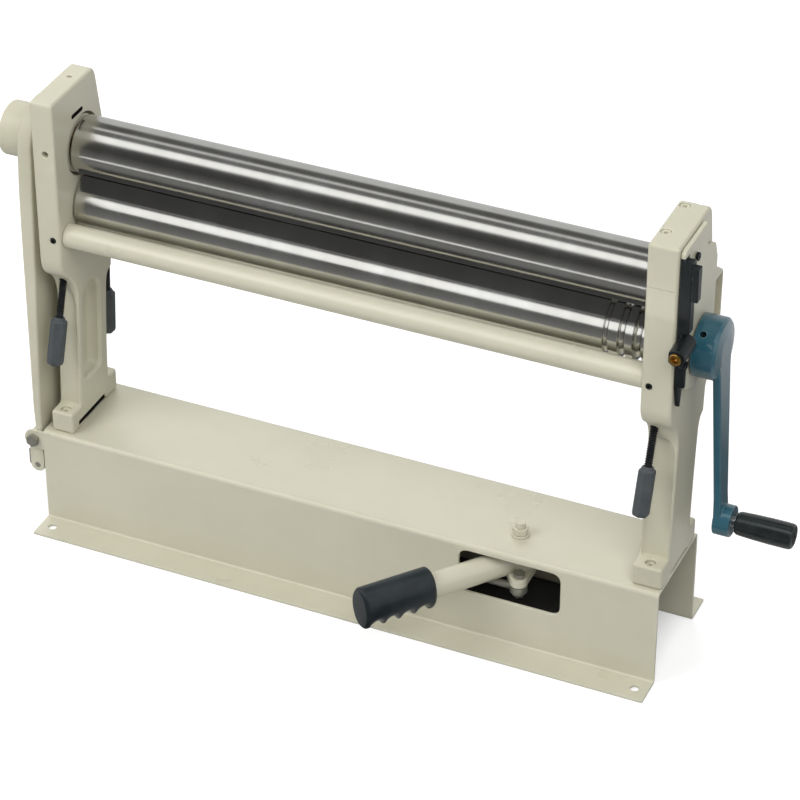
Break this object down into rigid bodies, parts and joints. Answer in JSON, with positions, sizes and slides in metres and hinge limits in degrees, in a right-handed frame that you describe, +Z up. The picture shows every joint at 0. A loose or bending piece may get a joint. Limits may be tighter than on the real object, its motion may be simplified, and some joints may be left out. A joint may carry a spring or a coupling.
{
  "type": "slip roll machine",
  "caption": "Hand-cranked bench slip roll: three ground rolls between cast frames on a folded base, with geared front rolls, screw adjusters and a release lever for the upper roll.",
  "frame": {"origin": "middle of the bounding box at floor level, under the base", "axes": "+X along the rolls towards the crank, -Y towards the operator, +Z up"},
  "size_m": [0.8432, 0.27, 0.502],
  "materials": {
    "painted_casting": "satin warm grey enamel",
    "ground_steel": "ground and polished round",
    "dark_steel": "black oxide",
    "zinc_plate": "zinc plated",
    "knob_plastic": "matt slate grey",
    "black_paint": "satin black",
    "bearing_bronze": "turned bronze",
    "teal_enamel": "gloss blue-green enamel",
    "grip_plastic": "moulded, slight gloss"
  },
  "bodies": {
    "machine": {"base_channel": "painted_casting", "left_frame": "painted_casting", "right_frame": "painted_casting", "right_bearing_cap": "painted_casting", "tie_bar": "painted_casting", "cap_screw_front": "dark_steel", "cap_screw_rear": "dark_steel", "tie_set_screw_left": "dark_steel", "tie_set_screw_right": "dark_steel", "cover_screw_upper": "dark_steel", "cover_screw_lower": "dark_steel", "foot_screw_left_front": "dark_steel", "foot_screw_left_rear": "dark_steel", "foot_screw_right_front": "dark_steel", "foot_screw_right_rear": "dark_steel", "arm_hinge_pin": "zinc_plate", "arm_hinge_nut": "zinc_plate", "pivot_bolt": "zinc_plate", "pivot_spacer": "zinc_plate", "pivot_washer": "zinc_plate", "pivot_nut": "zinc_plate", "foot_nut_left_front": "zinc_plate", "foot_nut_left_rear": "zinc_plate", "foot_nut_right_front": "zinc_plate", "foot_nut_right_rear": "zinc_plate", "gear_cover": "black_paint", "upper_bearing_right": "bearing_bronze", "lubricator_fitting": "bearing_bronze"},
    "front_blocks": {"lower_bearing_left": "bearing_bronze", "lower_bearing_right": "bearing_bronze"},
    "lower_roll": {"lower_roll": "ground_steel", "lower_gear": "dark_steel", "crank_arm": "teal_enamel", "crank_set_screw": "dark_steel", "crank_spindle": "zinc_plate"},
    "crank_grip": {"crank_grip": "grip_plastic"},
    "rear_blocks": {"rear_bearing_left": "bearing_bronze", "rear_bearing_right": "bearing_bronze"},
    "rear_roll": {"rear_roll": "ground_steel"},
    "upper_roll": {"upper_roll": "ground_steel", "upper_gear": "dark_steel"},
    "swing_arm": {"swing_arm": "painted_casting", "arm_bush": "bearing_bronze", "arm_tail_pin": "zinc_plate"},
    "release_lever": {"release_lever": "painted_casting", "lever_grip": "grip_plastic"},
    "link": {"link_rod": "zinc_plate", "link_pin": "zinc_plate", "link_nut": "zinc_plate"},
    "front_left_adjuster": {"adjusting_screw_front_left": "dark_steel", "adjusting_knob_front_left": "knob_plastic"},
    "front_right_adjuster": {"adjusting_screw_front_right": "dark_steel", "adjusting_knob_front_right": "knob_plastic"},
    "rear_left_adjuster": {"adjusting_screw_rear_left": "dark_steel", "adjusting_knob_rear_left": "knob_plastic"},
    "rear_right_adjuster": {"adjusting_screw_rear_right": "dark_steel", "adjusting_knob_rear_right": "knob_plastic"}
  },
  "joints": [
    {"name": "pinch_adjust", "type": "slide", "parent": "machine", "child": "front_blocks", "axis": [0, 0.309, 0.9511], "range_m": [-0.003, 0.002]},
    {"name": "lower_roll_spin", "type": "hinge", "parent": "front_blocks", "child": "lower_roll", "pos_m": [-0.03155, 0.04304, 0.368], "axis": [1, 0, 0], "continuous": true},
    {"name": "crank_grip_spin", "type": "hinge", "parent": "lower_roll", "child": "crank_grip", "pos_m": [0.37845, 0.04304, 0.173], "axis": [1, 0, 0], "continuous": true},
    {"name": "upper_roll_spin", "type": "hinge", "parent": "machine", "child": "upper_roll", "pos_m": [-0.03155, 0.04304, 0.431], "axis": [1, 0, 0], "continuous": true},
    {"name": "rear_adjust", "type": "slide", "parent": "machine", "child": "rear_blocks", "axis": [0, 0.0698, 0.9976], "range_m": [0, 0.02]},
    {"name": "rear_roll_spin", "type": "hinge", "parent": "rear_blocks", "child": "rear_roll", "pos_m": [-0.03155, 0.10504, 0.368], "axis": [1, 0, 0], "continuous": true},
    {"name": "swing_arm_hinge", "type": "hinge", "parent": "machine", "child": "swing_arm", "pos_m": [-0.38455, 0.04304, 0.098], "axis": [0, -1, 0], "range_deg": [0, 24]},
    {"name": "release_lever_turn", "type": "hinge", "parent": "machine", "child": "release_lever", "pos_m": [0.14845, 0.01704, 0.082], "axis": [0, 0, 1], "range_deg": [0, 80]},
    {"name": "link_pivot", "type": "hinge", "parent": "release_lever", "child": "link", "pos_m": [0.15645, -0.00495, 0.0625], "axis": [0, 0, 1], "range_deg": [-77.25, 0]},
    {"name": "front_left_screw_turn", "type": "hinge", "parent": "front_blocks", "child": "front_left_adjuster", "pos_m": [-0.35305, 0.03581, 0.37035], "axis": [0, 0.309, 0.9511], "range_deg": [-432, 288]},
    {"name": "rear_left_screw_turn", "type": "hinge", "parent": "rear_blocks", "child": "rear_left_adjuster", "pos_m": [-0.35305, 0.10504, 0.368], "axis": [0, 0.0698, 0.9976], "range_deg": [0, 2880]},
    {"name": "front_right_screw_turn", "type": "hinge", "parent": "front_blocks", "child": "front_right_adjuster", "pos_m": [0.28545, 0.03581, 0.37035], "axis": [0, 0.309, 0.9511], "range_deg": [-432, 288]},
    {"name": "rear_right_screw_turn", "type": "hinge", "parent": "rear_blocks", "child": "rear_right_adjuster", "pos_m": [0.28995, 0.10504, 0.368], "axis": [0, 0.0698, 0.9976], "range_deg": [0, 2880]}
  ],
  "couplings": [
    {"joint": "upper_roll_spin", "follows": "lower_roll_spin", "ratio": -1},
    {"joint": "release_lever_turn", "follows": "swing_arm_hinge", "ratio": 3.3333},
    {"joint": "link_pivot", "follows": "swing_arm_hinge", "ratio": -3.2183},
    {"joint": "front_left_screw_turn", "follows": "pinch_adjust", "rad_per_m": 2513.3},
    {"joint": "rear_left_screw_turn", "follows": "rear_adjust", "rad_per_m": 2513.3},
    {"joint": "front_right_screw_turn", "follows": "pinch_adjust", "rad_per_m": 2513.3},
    {"joint": "rear_right_screw_turn", "follows": "rear_adjust", "rad_per_m": 2513.3}
  ]
}
